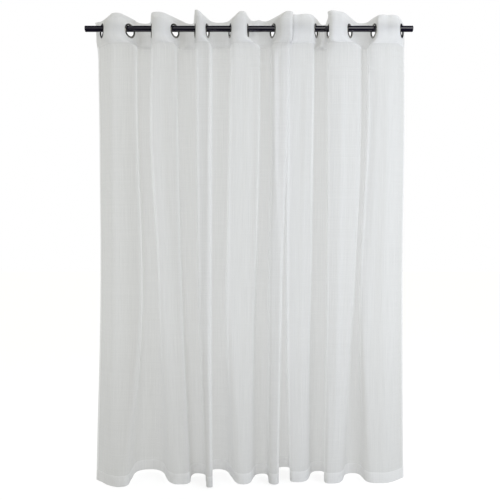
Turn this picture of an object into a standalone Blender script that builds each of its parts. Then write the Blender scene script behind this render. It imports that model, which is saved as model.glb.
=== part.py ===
"""Sheer voile curtain on sixteen press-together eyelet rings over a plain round rod.

Metres, +Z up, +X to the right and -Y towards the room. The origin is the middle of the rod's axis. The cloth is one
width of voile, 2.90 m by 2.18 m. It crosses the rod once at each eyelet, so the folds lie by turns in front of the rod
and behind it, and every piece of cloth is made flat first and then hung on those folds.
"""

import math
from collections import namedtuple

import bmesh
import bpy
import numpy as np

# The cut cloth
FLAT_WIDTH = 2.900
DROP = 2.180
HEADING_HEIGHT = 0.125
HEM_HEIGHT = 0.050
VOILE_THICK = 0.0012
HEADING_THICK = 0.0020
HEM_THICK = 0.0024
SEAM_GAP = 0.0003

# Eyelet rings, turned in two halves that clamp the cloth between them
EYELET_PITCH = 0.185
EYELET_BELOW_TOP = 0.058
RING_BORE = 0.0250
RING_REACH = 0.0335
RING_DOME_RADIUS = 0.0305
RING_HALF_DEPTH = 0.0037
RING_LIP_HALF_DEPTH = 0.0022
GROOVE_RADIUS = 0.0290
GROOVE_HALF_WIDTH = HEADING_THICK / 2 + 0.0003
CLOTH_HOLE = 0.0306
RING_SEGMENTS = 20
HOLE_SEGMENTS = 16

# The rod
ROD_RADIUS = 0.014
ROD_LENGTH = 1.555
ROD_END_BEVEL = 0.0008
ROD_SEGMENTS = 32
RING_BELOW_ROD = 0.0100

# Heights, from the rod's axis
RING_Z = -RING_BELOW_ROD
TOP_Z = RING_Z + EYELET_BELOW_TOP
HEM_Z = TOP_Z - DROP
FLAT_REACH = 0.036
UPPER_Z = -0.40
MIDDLE_Z = -1.24
LEVELS = (RING_Z - FLAT_REACH, UPPER_Z, MIDDLE_Z, HEM_Z)

# How the folds are shaped
ROUNDING = 0.050
TOP_PINCH = 0.45
UPPER_FULLNESS = 0.25
MIDDLE_FULLNESS = 0.60
VIEWED_FROM = 2.40

# A row for each eyelet, left to right: its place along the rod in mm, and the angle between cloth and rod in degrees
Eyelet = namedtuple("Eyelet", "x_mm turn_deg")
EYELETS = (
    Eyelet(-698, 60),
    Eyelet(-566, 57),
    Eyelet(-462, 78),
    Eyelet(-352, 58),
    Eyelet(-255, 80),
    Eyelet(-198, 78),
    Eyelet(-89, 76),
    Eyelet(-6, 84),
    Eyelet(114, 67),
    Eyelet(190, 94),
    Eyelet(206, 94),
    Eyelet(318, 68),
    Eyelet(380, 82),
    Eyelet(479, 58),
    Eyelet(593, 78),
    Eyelet(725, 61),
)

# A row for each fold between two eyelets. The edges are in mm as seen from VIEWED_FROM, at the rod's scale, at three
# heights, and the hem's depth is in mm, forwards negative.
Fold = namedtuple("Fold", "upper_left upper_right middle_left middle_right hem_left hem_right hem_depth")
FOLDS = (
    Fold(-660, -537, -665, -504, -651, -580, -100),
    Fold(-522, -466, -494, -423, -532, -408, 90),
    Fold(-461, -342, -420, -317, -380, -280, -72),
    Fold(-332, -256, -309, -242, -271, -218, 45),
    Fold(-255, -172, -239, -172, -204, -171, -105),
    Fold(-166, -100, -169, -114, -169, -109, 92),
    Fold(-81, 5, -95, 32, -57, 5, -72),
    Fold(57, 103, 38, 90, 33, 85, 40),
    Fold(104, 196, 93, 166, 97, 145, -75),
    Fold(176, 202, 158, 188, 145, 190, 117),
    Fold(200, 318, 185, 299, 195, 275, -50),
    Fold(321, 375, 304, 361, 299, 351, 72),
    Fold(378, 503, 370, 468, 356, 442, -65),
    Fold(537, 565, 475, 513, 456, 522, 48),
    Fold(568, 698, 518, 689, 560, 674, -60),
)

# A row for each side edge of the cloth: its place as seen and its depth, in mm, at the same three heights
Edge = namedtuple("Edge", "upper upper_depth middle middle_depth hem hem_depth")
LEFT_EDGE = Edge(-706, 36, -705, 10, -725, -24)
RIGHT_EDGE = Edge(735, 45, 729, 25, 734, 5)

# Where the cloth has its columns and rows of faces
FOLD_COLUMNS = (0.0, 0.20, 0.32, 0.44, 0.56, 0.68, 0.80)
HEADING_CREST_STEPS = 6
PANEL_HEIGHTS = (-0.13, -0.24, UPPER_Z, -0.62, -0.88, MIDDLE_Z, -1.55, -1.80, -1.98)
CURVE_STEPS = 8


def clear_scene():
    """Remove whatever the file holds, so that the part is built alone."""
    for old in list(bpy.data.objects):
        bpy.data.objects.remove(old, do_unlink=True)


def material(name, colour, roughness, metallic, alpha=1.0):
    """A Principled material with the finish of one sub-part."""
    made = bpy.data.materials.new(name)
    made.use_nodes = True
    shader = made.node_tree.nodes["Principled BSDF"]
    shader.inputs["Base Color"].default_value = (*colour, 1.0)
    shader.inputs["Roughness"].default_value = roughness
    shader.inputs["Metallic"].default_value = metallic
    shader.inputs["Alpha"].default_value = alpha
    return made


def add_object(name, mesh):
    """An object of that name in the scene's collection."""
    placed = bpy.data.objects.new(name, mesh)
    bpy.context.scene.collection.objects.link(placed)
    return placed


def ease(value):
    """0 below 0, 1 above 1, and a soft step between."""
    share = min(max(value, 0.0), 1.0)
    return share * share * (3.0 - 2.0 * share)


def fold_side(index):
    """-1 for a fold in front of the rod and +1 for one behind it."""
    return -1.0 if index % 2 == 0 else 1.0


def heading_of(index):
    """The cloth's direction from above where it passes through an eyelet, from left to right along the cloth."""
    turn = math.radians(EYELETS[index].turn_deg)
    return np.array([math.cos(turn), fold_side(index) * math.sin(turn)])


def rounded(before, corner, after, reach):
    """A quarter-bend from one leg of a corner to the other, starting and ending at reach from the corner."""
    start = corner + (before - corner) * (reach / max(np.linalg.norm(before - corner), 1e-9))
    end = corner + (after - corner) * (reach / max(np.linalg.norm(after - corner), 1e-9))
    steps = np.linspace(0.0, 1.0, CURVE_STEPS)[:, None]
    return (1 - steps) ** 2 * start + 2 * steps * (1 - steps) * corner + steps**2 * end


def length_of(points):
    """The length of a line through points."""
    return float(np.linalg.norm(np.diff(points, axis=0), axis=1).sum())


def fold_line(start, left, right, end, straight, rounding):
    """The cloth of one fold from above, from one eyelet's line to the next, with both its corners rounded."""
    crest = np.linalg.norm(right - left) / 2
    left_reach = max(min(crest, np.linalg.norm(left - start) - straight, rounding), 0.0005)
    right_reach = max(min(crest, np.linalg.norm(end - right) - straight, rounding), 0.0005)
    bends = [rounded(start, left, right, left_reach), rounded(left, right, end, right_reach)]
    return np.vstack([start[None], *bends, end[None]])


def rod_corners(index, depth):
    """A fold's two corners at the height of the rings, when it is depth deep."""
    left_point = np.array([EYELETS[index].x_mm / 1000, 0.0])
    right_point = np.array([EYELETS[index + 1].x_mm / 1000, 0.0])
    into, out = heading_of(index), heading_of(index + 1)
    return (
        left_point,
        left_point + into * depth / abs(into[1]),
        right_point - out * depth / abs(out[1]),
        right_point,
    )


def rod_depth(index):
    """How deep a fold is at the rings, where the cloth between two eyelets is one pitch wide."""
    shallow, deep = 0.030, 0.110
    for _ in range(40):
        depth = (shallow + deep) / 2
        width = length_of(fold_line(*rod_corners(index, depth), FLAT_REACH, ROUNDING))
        if width < EYELET_PITCH:
            shallow = depth
        else:
            deep = depth
    return (shallow + deep) / 2


def through_levels(height, values):
    """A smooth curve through values at the heights in LEVELS, level at the first of them."""
    if height >= LEVELS[0]:
        return values[0]
    place = max(i for i in range(len(LEVELS) - 1) if height <= LEVELS[i])
    slopes = [(values[i + 1] - values[i]) / (LEVELS[i + 1] - LEVELS[i]) for i in range(len(LEVELS) - 1)]
    tangents = [0.0 * slopes[0], *[(a + b) / 2 for a, b in zip(slopes, slopes[1:])], slopes[-1]]
    span = LEVELS[place + 1] - LEVELS[place]
    t = (height - LEVELS[place]) / span
    return (
        (2 * t**3 - 3 * t**2 + 1) * values[place]
        + (t**3 - 2 * t**2 + t) * span * tangents[place]
        + (3 * t**2 - 2 * t**3) * values[place + 1]
        + (t**3 - t**2) * span * tangents[place + 1]
    )


def seen_point(seen_mm, depth):
    """A point of the cloth from its place as seen and its depth."""
    return np.array([seen_mm / 1000 * (1 + depth / VIEWED_FROM), depth])


def edge_levels(edge, at_rod):
    """A side edge's points at the four heights."""
    return [
        at_rod,
        seen_point(edge.upper, edge.upper_depth / 1000),
        seen_point(edge.middle, edge.middle_depth / 1000),
        seen_point(edge.hem, edge.hem_depth / 1000),
    ]


def corner_levels():
    """Every corner of the cloth's line from above, left to right, each as its points at the four heights."""
    edge_strip = (FLAT_WIDTH - EYELET_PITCH * (len(EYELETS) - 1)) / 2
    first = np.array([EYELETS[0].x_mm / 1000, 0.0])
    last = np.array([EYELETS[-1].x_mm / 1000, 0.0])
    corners = [edge_levels(LEFT_EDGE, first - heading_of(0) * edge_strip)]
    for index, fold in enumerate(FOLDS):
        depth = rod_depth(index)
        _, left, right, _ = rod_corners(index, depth)
        at_rod, at_hem = fold_side(index) * depth, fold.hem_depth / 1000
        upper = at_rod + (at_hem - at_rod) * UPPER_FULLNESS
        middle = at_rod + (at_hem - at_rod) * MIDDLE_FULLNESS
        corners.append([
            left,
            seen_point(fold.upper_left, upper),
            seen_point(fold.middle_left, middle),
            seen_point(fold.hem_left, at_hem),
        ])
        corners.append([
            right,
            seen_point(fold.upper_right, upper),
            seen_point(fold.middle_right, middle),
            seen_point(fold.hem_right, at_hem),
        ])
    corners.append(edge_levels(RIGHT_EDGE, last + heading_of(len(EYELETS) - 1) * edge_strip))
    return corners


class Hanging:
    """The hung cloth: gives the place in the room of any point of the flat cloth."""

    def __init__(self):
        self.edge_strip = (FLAT_WIDTH - EYELET_PITCH * (len(EYELETS) - 1)) / 2
        self.corners = corner_levels()
        self.shares = [self.crossing_share(i) for i in range(len(EYELETS))]
        self.known = {}

    def crossing_share(self, index):
        """How far along the cloth between two folds the eyelet's line lies."""
        before = self.corners[2 * index][0]
        after = self.corners[2 * index + 1][0]
        eyelet = np.array([EYELETS[index].x_mm / 1000, 0.0])
        return float(np.linalg.norm(eyelet - before) / np.linalg.norm(after - before))

    def sections(self, height, deepened):
        """The cloth's line from above at a height: a strip at each side and a section for each fold."""
        points = [through_levels(height, levels) * (1.0, deepened) for levels in self.corners]
        above = ease((height - RING_Z - FLAT_REACH) / (TOP_Z - RING_Z - FLAT_REACH))
        for left in range(1, len(points) - 1, 2):
            middle = (points[left] + points[left + 1]) / 2
            points[left] = points[left] + (middle - points[left]) * TOP_PINCH * above
            points[left + 1] = points[left + 1] + (middle - points[left + 1]) * TOP_PINCH * above
        below = ease((RING_Z - FLAT_REACH - height) / FLAT_REACH)
        straight = FLAT_REACH * (1.0 - max(0.6 * above, below))
        crossings = [
            points[2 * i] + (points[2 * i + 1] - points[2 * i]) * self.shares[i] for i in range(len(EYELETS))
        ]
        lines = [np.vstack([points[0], crossings[0]])]
        for i in range(len(FOLDS)):
            fold = points[2 * i + 1], points[2 * i + 2]
            lines.append(fold_line(crossings[i], *fold, crossings[i + 1], straight, ROUNDING))
        lines.append(np.vstack([crossings[-1], points[-1]]))
        return lines

    def at_height(self, height):
        """The sections at a height, as deep as the cloth's width makes them."""
        key = round(height, 6)
        if key not in self.known:
            shallow, deep = 0.5, 2.0
            for _ in range(30):
                deepened = (shallow + deep) / 2
                if sum(map(length_of, self.sections(height, deepened))) < FLAT_WIDTH:
                    shallow = deepened
                else:
                    deep = deepened
            in_rings = abs(height - RING_Z) <= FLAT_REACH + 1e-6
            self.known[key] = self.sections(height, 1.0 if in_rings else deepened)
        return self.known[key]

    def section_of(self, across):
        """Which section a point of the flat cloth is in, and how far along it."""
        inner = across - self.edge_strip
        if inner < 0:
            return 0, across / self.edge_strip
        index = int(inner / EYELET_PITCH + 1e-9)
        if index >= len(FOLDS):
            return len(FOLDS) + 1, (inner - EYELET_PITCH * len(FOLDS)) / self.edge_strip
        return index + 1, inner / EYELET_PITCH - index

    def point(self, across, height):
        """The place from above of a point of the flat cloth at a height."""
        section, share = self.section_of(across)
        line = self.at_height(height)[section]
        along = np.concatenate([[0.0], np.cumsum(np.linalg.norm(np.diff(line, axis=0), axis=1))])
        wanted = share * along[-1]
        return np.array([np.interp(wanted, along, line[:, 0]), np.interp(wanted, along, line[:, 1])])

    def place(self, across, height, off):
        """A point off the middle of the cloth, towards the room where off is positive."""
        step = 0.001
        before = self.point(max(across - step, 0.0), height)
        after = self.point(min(across + step, FLAT_WIDTH), height)
        run = (after - before) / np.linalg.norm(after - before)
        middle = self.point(across, height)
        return middle[0] + run[1] * off, middle[1] - run[0] * off, height


def flat_grid(sheet, columns, heights, left_out=()):
    """Faces of flat cloth between columns and heights, but for the cells that are left out."""
    rows = [[sheet.verts.new((across, height, 0.0)) for across in columns] for height in heights]
    for i in range(len(heights) - 1):
        for j in range(len(columns) - 1):
            if (i, j) not in left_out:
                sheet.faces.new((rows[i][j], rows[i + 1][j], rows[i + 1][j + 1], rows[i][j + 1]))
    return rows


def hang(sheet, name, cloth, half_thickness, finish):
    """Give flat cloth its thickness and hang it on the folds, as one closed solid."""
    for face in sheet.faces:
        face.normal_update()
        if face.normal.z < 0:
            face.normal_flip()
    backs = list(sheet.verts)
    grown = bmesh.ops.extrude_face_region(sheet, geom=list(sheet.faces), use_keep_orig=True)
    fronts = [v for v in grown["geom"] if isinstance(v, bmesh.types.BMVert)]
    for side, vertices in ((1.0, fronts), (-1.0, backs)):
        for vertex in vertices:
            across, height, _ = vertex.co
            vertex.co = cloth.place(across, height, side * half_thickness(height))
    mesh = bpy.data.meshes.new(name)
    sheet.to_mesh(mesh)
    sheet.free()
    mesh.materials.append(finish)
    mesh.shade_smooth()
    mesh.set_sharp_from_angle(angle=math.radians(50))
    return add_object(name, mesh)


def heading_columns(edge_strip):
    """Columns of the heading: each eyelet's square patch, and even steps over each fold."""
    columns = [0.0]
    for index in range(len(EYELETS)):
        eyelet = edge_strip + index * EYELET_PITCH
        columns += [eyelet - FLAT_REACH, eyelet, eyelet + FLAT_REACH]
        if index < len(EYELETS) - 1:
            step = (EYELET_PITCH - 2 * FLAT_REACH) / HEADING_CREST_STEPS
            columns += [eyelet + FLAT_REACH + step * k for k in range(1, HEADING_CREST_STEPS)]
    return [*columns, FLAT_WIDTH]


def build_heading(cloth, finish):
    """The doubled strip along the top, with a round hole for each eyelet ring."""
    sheet = bmesh.new()
    columns = heading_columns(cloth.edge_strip)
    heights = (TOP_Z, RING_Z + FLAT_REACH, RING_Z - FLAT_REACH, TOP_Z - HEADING_HEIGHT)
    per_fold = HEADING_CREST_STEPS + 2
    first_cells = [1 + index * per_fold for index in range(len(EYELETS))]
    patches = {(1, cell + k) for cell in first_cells for k in (0, 1)}
    rows = flat_grid(sheet, columns, heights, patches)
    for index, cell in enumerate(first_cells):
        eyelet = cloth.edge_strip + index * EYELET_PITCH
        rim = [
            sheet.verts.new((
                eyelet + CLOTH_HOLE * math.cos(math.tau * k / HOLE_SEGMENTS),
                RING_Z + CLOTH_HOLE * math.sin(math.tau * k / HOLE_SEGMENTS),
                0.0,
            ))
            for k in range(HOLE_SEGMENTS)
        ]
        outline = [*rows[1][cell : cell + 3], *rows[2][cell : cell + 3][::-1]]
        edges = []
        for loop in (outline, rim):
            for a, b in zip(loop, loop[1:] + loop[:1]):
                edges.append(sheet.edges.get((a, b)) or sheet.edges.new((a, b)))
        bmesh.ops.triangle_fill(sheet, edges=edges, use_beauty=True)
    return hang(sheet, "heading", cloth, lambda height: HEADING_THICK / 2, finish)


def build_panel(cloth, finish):
    """The voile below the heading's seam, thicker where its hem is folded up."""
    columns = [0.0, cloth.edge_strip / 2]
    for index in range(len(FOLDS)):
        columns += [cloth.edge_strip + (index + share) * EYELET_PITCH for share in FOLD_COLUMNS]
    columns += [FLAT_WIDTH - cloth.edge_strip, FLAT_WIDTH - cloth.edge_strip / 2, FLAT_WIDTH]
    hem_top = HEM_Z + HEM_HEIGHT
    turn_up = (HEM_THICK - VOILE_THICK) / 2
    heights = (TOP_Z - HEADING_HEIGHT - SEAM_GAP, *PANEL_HEIGHTS, hem_top + turn_up, hem_top, HEM_Z)
    sheet = bmesh.new()
    flat_grid(sheet, columns, heights)
    in_hem = hem_top + turn_up / 2
    return hang(
        sheet, "panel", cloth, lambda height: (HEM_THICK if height < in_hem else VOILE_THICK) / 2, finish
    )


def ring_mesh(finish):
    """One eyelet ring, turned about its own Z axis, with a groove that the heading's edge sits in."""
    half = (
        (GROOVE_RADIUS, GROOVE_HALF_WIDTH),
        (RING_REACH, GROOVE_HALF_WIDTH),
        (RING_DOME_RADIUS, RING_HALF_DEPTH),
        (RING_BORE, RING_LIP_HALF_DEPTH),
    )
    profile = [*half, *[(radius, -depth) for radius, depth in reversed(half)]]
    turned = bmesh.new()
    points = [turned.verts.new((radius, 0.0, depth)) for radius, depth in profile]
    edges = [turned.edges.new((a, b)) for a, b in zip(points, points[1:] + points[:1])]
    bmesh.ops.spin(
        turned,
        geom=points + edges,
        cent=(0, 0, 0),
        axis=(0, 0, 1),
        angle=math.tau,
        steps=RING_SEGMENTS,
        use_merge=True,
    )
    bmesh.ops.remove_doubles(turned, verts=turned.verts, dist=1e-6)
    bmesh.ops.recalc_face_normals(turned, faces=turned.faces)
    mesh = bpy.data.meshes.new("eyelet_ring")
    turned.to_mesh(mesh)
    turned.free()
    mesh.materials.append(finish)
    mesh.shade_smooth()
    mesh.set_sharp_from_angle(angle=math.radians(40))
    return mesh


def build_rings(finish):
    """A ring in each hole, square to the cloth there and hanging on the rod."""
    mesh = ring_mesh(finish)
    for index, eyelet in enumerate(EYELETS):
        ring = add_object(f"eyelet_{index + 1:02d}", mesh)
        ring.location = (eyelet.x_mm / 1000, 0.0, RING_Z)
        ring.rotation_euler = (math.pi / 2, 0.0, fold_side(index) * math.radians(eyelet.turn_deg))


def build_rod(finish):
    """The plain round rod, with its cut ends broken by a small bevel."""
    bar = bmesh.new()
    bmesh.ops.create_cone(
        bar, cap_ends=True, segments=ROD_SEGMENTS, radius1=ROD_RADIUS, radius2=ROD_RADIUS, depth=ROD_LENGTH
    )
    caps = [face for face in bar.faces if len(face.verts) == ROD_SEGMENTS]
    rims = [edge for face in caps for edge in face.edges]
    bmesh.ops.bevel(
        bar, geom=rims, offset=ROD_END_BEVEL, segments=1, profile=0.5, affect="EDGES", material=-1
    )
    mesh = bpy.data.meshes.new("rod")
    bar.to_mesh(mesh)
    bar.free()
    mesh.materials.append(finish)
    mesh.shade_smooth()
    mesh.set_sharp_from_angle(angle=math.radians(30))
    rod = add_object("rod", mesh)
    rod.rotation_euler = (0.0, math.pi / 2, 0.0)


def main():
    clear_scene()
    voile = material("white_voile", (0.86, 0.87, 0.87), 0.75, 0.0, 0.6)
    nickel = material("polished_nickel", (0.72, 0.70, 0.66), 0.18, 1.0)
    black = material("black_rod_finish", (0.02, 0.02, 0.025), 0.35, 0.4)
    cloth = Hanging()
    build_heading(cloth, voile)
    build_panel(cloth, voile)
    build_rings(nickel)
    build_rod(black)


main()
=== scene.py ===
"""A sheer voile curtain on a plain black rod: cloth, stitching, eyelet rings, rod and stage.

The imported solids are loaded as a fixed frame. Every piece here is made round them, in metres, with +Z up, the
rod along X and the room on the -Y side. Cloth is cut flat first and then hung on the folds.
"""

import math
from collections import defaultdict, namedtuple

import bmesh
import bpy
import numpy as np
from mathutils import Matrix, Vector, noise


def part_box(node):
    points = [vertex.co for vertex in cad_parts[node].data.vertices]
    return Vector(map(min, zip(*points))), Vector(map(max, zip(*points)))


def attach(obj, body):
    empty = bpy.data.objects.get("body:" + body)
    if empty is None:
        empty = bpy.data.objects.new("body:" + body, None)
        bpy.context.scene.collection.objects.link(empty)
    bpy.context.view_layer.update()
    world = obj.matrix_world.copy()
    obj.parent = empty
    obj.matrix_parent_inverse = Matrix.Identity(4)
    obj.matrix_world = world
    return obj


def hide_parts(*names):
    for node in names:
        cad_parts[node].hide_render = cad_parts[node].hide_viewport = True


bl_info = {
    "name": "Voile curtain",
    "version": (1, 0, 0),
    "blender": (4, 5, 0),
    "location": "View3D > Sidebar > Curtain",
    "description": "Makes a sheer eyelet curtain on its rod",
    "category": "Add Mesh",
}

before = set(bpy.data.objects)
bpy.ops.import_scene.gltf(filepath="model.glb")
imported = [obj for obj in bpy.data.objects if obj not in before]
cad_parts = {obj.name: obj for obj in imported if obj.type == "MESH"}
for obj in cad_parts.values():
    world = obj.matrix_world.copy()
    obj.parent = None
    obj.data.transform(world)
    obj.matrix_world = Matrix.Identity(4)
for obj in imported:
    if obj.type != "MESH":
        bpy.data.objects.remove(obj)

MM = 0.001

# What the frame gives
ROD_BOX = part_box("rod")
HEADING_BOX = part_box("heading")
PANEL_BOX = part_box("panel")
TOP_Z = HEADING_BOX[1][2]
SEAM_Z = HEADING_BOX[0][2]
HEM_Z = PANEL_BOX[0][2]
RING_Z = (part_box("eyelet_01")[0][2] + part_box("eyelet_01")[1][2]) / 2

# How the folds are shaped, as in the solids
EYELET_PITCH = 0.185
FLAT_REACH = 0.036
NECK_Z = -0.094
BELOW_Z = -0.15
UPPER_Z = -0.40
MIDDLE_Z = -1.24
LEVELS = (RING_Z - FLAT_REACH, NECK_Z, BELOW_Z, UPPER_Z, MIDDLE_Z, HEM_Z)
ROUNDING = (0.050, 0.038, 0.036, 0.032, 0.034, 0.062)
LEVEL_NAMES = ("below", "below", "upper", "middle", "hem")
FULLNESS = (0.08, 0.08, 0.25, 0.60)
TOP_BACK_SHARE = 0.70
VIEWED_FROM = 2.40
CURVE_STEPS = 14
FRONT_SAG = 0.009
BACK_RISE = 0.004

# The cloth: how much denser it is where doubled, its yarn and its stitches
HEM_DENSITY = 0.5
HEADING_DENSITY = 0.5
SLUB_STRETCHES = ((420.0, 5.0, 1.0), (4.0, 380.0, 1.0))
SLUB_RANGE = (0.36, 0.64)
WEFT_SHARE = 0.35
COVER_SPREAD = 0.10
STITCH_PITCH = 0.0034
STITCH_LENGTH = 0.0026
THREAD_RADIUS = 0.00028
THREAD_COLOUR = (0.80, 0.81, 0.815, 1.0)
THREAD_SHADE = (0.70, 0.71, 0.715, 1.0)

# The two soft lights
DAYLIGHT = (0.90, 0.97, 1.10)
LIGHT_SIZE = (1.8, 2.2)
LIGHT_AIM = (0.1, 0.0, -0.9)
FRONT_LIGHT_PLACE = (2.2, -2.0, -0.3)
REAR_LIGHT_PLACE = (0.7, 2.0, -0.9)

# The room, and the long window that polish reflects, as ranges of the direction looked in
LEFT_TINT = (0.990, 0.988, 0.890)
RIGHT_TINT = (1.022, 1.022, 0.985)
WALL_WHITE = (1.0, 1.0, 1.0, 1.0)
DARK_ROOM = (0.05, 0.05, 0.07, 1.0)
WINDOW_TINT = (1.0, 1.0, 0.97)
WINDOW_TOP = (0.38, 0.50)
WINDOW_FOOT = (-0.10, 0.04)
WINDOW_ALONG = (-0.36, 0.30)
WINDOW_DIMMEST = 0.22
WINDOW_FACING = (-0.82, -0.65)

# The floor, and the shade painted on it near the cloth
FLOOR_REACH = 12.0
# How far from the cloth the shade painted on the floor reaches
FLOOR_SHADE_REACH = 3.5
FLOOR_GLOW = 0.25
FLOOR_PALE = 0.27
FLOOR_GLOSS = (0.06, 0.06, 0.07, 1.0)
FLOOR_WHITE = (0.76, 0.76, 0.76, 1.0)

# A row for each eyelet, left to right: its place along the rod in mm, and the angle between cloth and rod
# in degrees
Eyelet = namedtuple("Eyelet", "x_mm turn_deg")
EYELETS = (
    Eyelet(-698, 60),
    Eyelet(-566, 57),
    Eyelet(-462, 78),
    Eyelet(-352, 58),
    Eyelet(-255, 80),
    Eyelet(-198, 78),
    Eyelet(-89, 76),
    Eyelet(-6, 84),
    Eyelet(114, 67),
    Eyelet(190, 94),
    Eyelet(206, 94),
    Eyelet(318, 68),
    Eyelet(380, 82),
    Eyelet(479, 58),
    Eyelet(593, 78),
    Eyelet(725, 61),
)

# A row for each fold between two eyelets. Its left and right edges are in mm as seen from VIEWED_FROM, at
# the rod's scale: at the cloth's top, just below the heading, at two heights further down and at the hem.
# Where a fold's edge lies beyond its neighbour's, the two overlap. The hem's depth is in mm, forwards
# negative.
Fold = namedtuple(
    "Fold",
    "top_left top_right below_left below_right upper_left upper_right middle_left middle_right"
    " hem_left hem_right hem_depth",
)
FOLDS = (
    Fold(-646, -610, -660, -532, -660, -532, -665, -507, -651, -580, -100),
    Fold(-520, -470, -533, -446, -531, -446, -508, -412, -532, -408, 90),
    Fold(-461, -409, -473, -342, -480, -340, -438, -318, -380, -280, -72),
    Fold(-292, -264, -340, -232, -340, -230, -320, -222, -271, -206, 45),
    Fold(-255, -240, -261, -173, -259, -173, -249, -175, -204, -171, -105),
    Fold(-176, -104, -195, -71, -200, -76, -204, -85, -190, -109, 92),
    Fold(-44, -20, -95, 55, -100, 55, -119, 31, -57, 5, -72),
    Fold(12, 84, 48, 114, 44, 122, 27, 108, 33, 88, 40),
    Fold(178, 203, 97, 198, 100, 193, 85, 161, 97, 145, -75),
    Fold(180, 206, 112, 202, 112, 200, 140, 196, 132, 198, 117),
    Fold(206, 300, 184, 318, 180, 316, 173, 299, 195, 275, -50),
    Fold(345, 366, 296, 382, 290, 386, 288, 384, 299, 360, 72),
    Fold(383, 446, 370, 538, 370, 543, 364, 508, 356, 442, -65),
    Fold(516, 560, 532, 575, 528, 578, 490, 540, 456, 522, 48),
    Fold(612, 706, 556, 700, 554, 698, 520, 689, 560, 674, -60),
)

# Corners that are creased sharper than the rest: the fold, its left or right corner, and the share of the
# rounding kept
SHARP_CORNERS = {
    (0, "left"): 0.6,
    (0, "right"): 0.6,
    (2, "right"): 0.6,
    (4, "left"): 0.6,
    (4, "right"): 0.45,
    (6, "right"): 0.6,
    (8, "right"): 0.35,
    (9, "left"): 0.6,
    (10, "left"): 0.35,
    (12, "left"): 0.6,
}

# A row for each side edge of the cloth: its place as seen and its depth, in mm, at the same heights
Edge = namedtuple("Edge", "below below_depth upper upper_depth middle middle_depth hem hem_depth")
LEFT_EDGE = Edge(-712, 48, -709, 36, -705, 10, -725, -24)
RIGHT_EDGE = Edge(735, 46, 735, 45, 729, 25, 734, 5)

# How far the heading's left end swings out past its last eyelet, and where the swing has gone, down the
# cloth
LEFT_SWING_DEG = 32
SWING_END_Z = -0.15

# A row for each small trough or ridge that runs down a fold: the fold, how far across it at the top and
# bottom of the crease, the two heights in m, its width and how far it lifts towards the room, in mm
Crease = namedtuple("Crease", "fold share_top share_bottom top bottom width_mm lift_mm")
CREASES = (
    Crease(0, 0.14, 0.16, -0.16, -1.75, 14, -6),
    Crease(1, 0.10, 0.10, 0.090, 0.026, 16, 14),
    Crease(2, 0.62, 0.60, -0.16, -1.00, 14, 4),
    Crease(6, 0.56, 0.62, -0.10, -1.95, 16, 5),
    Crease(7, 0.44, 0.44, 0.062, -0.05, 26, 24),
    Crease(8, 0.42, 0.46, -0.08, -0.80, 12, -7),
    Crease(8, 0.72, 0.70, 0.090, -0.11, 13, 9),
    Crease(10, 0.36, 0.36, 0.090, -0.04, 19, -7),
    Crease(10, 0.66, 0.62, -0.12, -2.10, 14, 5),
    Crease(12, 0.33, 0.29, 0.090, -0.12, 18, 17),
    Crease(12, 0.44, 0.50, -0.12, -2.10, 13, 7),
    Crease(14, 0.26, 0.24, -0.15, -1.30, 16, -6),
    Crease(14, 0.47, 0.47, 0.090, -0.02, 17, -7),
    Crease(14, 0.60, 0.64, -0.15, -2.00, 20, 5),
)

# A row for each line where the cloth was folded in its packet: its height in m, its width and depth in mm
PacketLine = namedtuple("PacketLine", "height width_mm depth_mm")
PACKET_LINES = (
    PacketLine(-0.143, 5, 1.4),
    PacketLine(-0.190, 6, 1.1),
    PacketLine(-0.760, 7, 0.8),
    PacketLine(-1.393, 7, 1.0),
)


class CurtainCloth(bpy.types.PropertyGroup):
    """Sizes and colours of the voile."""

    flat_width: bpy.props.FloatProperty(
        name="Flat width", description="Width of the cloth before it is hung", default=2.900, unit="LENGTH"
    )
    hem_height: bpy.props.FloatProperty(
        name="Hem", description="Height of the doubled hem", default=0.050, unit="LENGTH"
    )
    side_hem: bpy.props.FloatProperty(
        name="Side hem", description="Width of the doubled side hems", default=0.012, unit="LENGTH"
    )
    layer_gap: bpy.props.FloatProperty(
        name="Layer gap", description="Between the two layers of a doubled edge",
        default=0.0011, unit="LENGTH",
    )
    ripple: bpy.props.FloatProperty(
        name="Ripple", description="Height of the small ripples in the cloth", default=0.0022, unit="LENGTH"
    )
    colour: bpy.props.FloatVectorProperty(
        name="Colour", description="Colour of the yarn", default=(0.906, 0.904, 0.907), subtype="COLOR"
    )
    shade: bpy.props.FloatVectorProperty(
        name="Shade", description="Colour of the thicker yarn",
        default=(0.858, 0.856, 0.857), subtype="COLOR",
    )
    cover: bpy.props.FloatProperty(
        name="Cover", description="Share of one layer that is yarn", default=0.64, subtype="FACTOR"
    )
    hem_cover: bpy.props.FloatProperty(
        name="Hem cover", description="How much denser doubled cloth is", default=0.22, subtype="FACTOR"
    )
    glow: bpy.props.FloatProperty(
        name="Glow", description="Share of the yarn's light that comes through it",
        default=0.50, subtype="FACTOR",
    )


class CurtainRings(bpy.types.PropertyGroup):
    """Sizes and colour of the eyelet rings."""

    bore: bpy.props.FloatProperty(
        name="Bore", description="Radius of the ring's hole", default=0.0250, unit="LENGTH"
    )
    reach: bpy.props.FloatProperty(
        name="Reach", description="Outer radius of the ring", default=0.0335, unit="LENGTH"
    )
    half_depth: bpy.props.FloatProperty(
        name="Half depth", description="From the cloth to the top of the ring's dome",
        default=0.0037, unit="LENGTH",
    )
    cloth_hole: bpy.props.FloatProperty(
        name="Cloth hole", description="Radius of the hole cut in the heading",
        default=0.0306, unit="LENGTH",
    )
    colour: bpy.props.FloatVectorProperty(
        name="Colour", description="Colour of the plating", default=(0.36, 0.355, 0.32), subtype="COLOR"
    )


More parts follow.
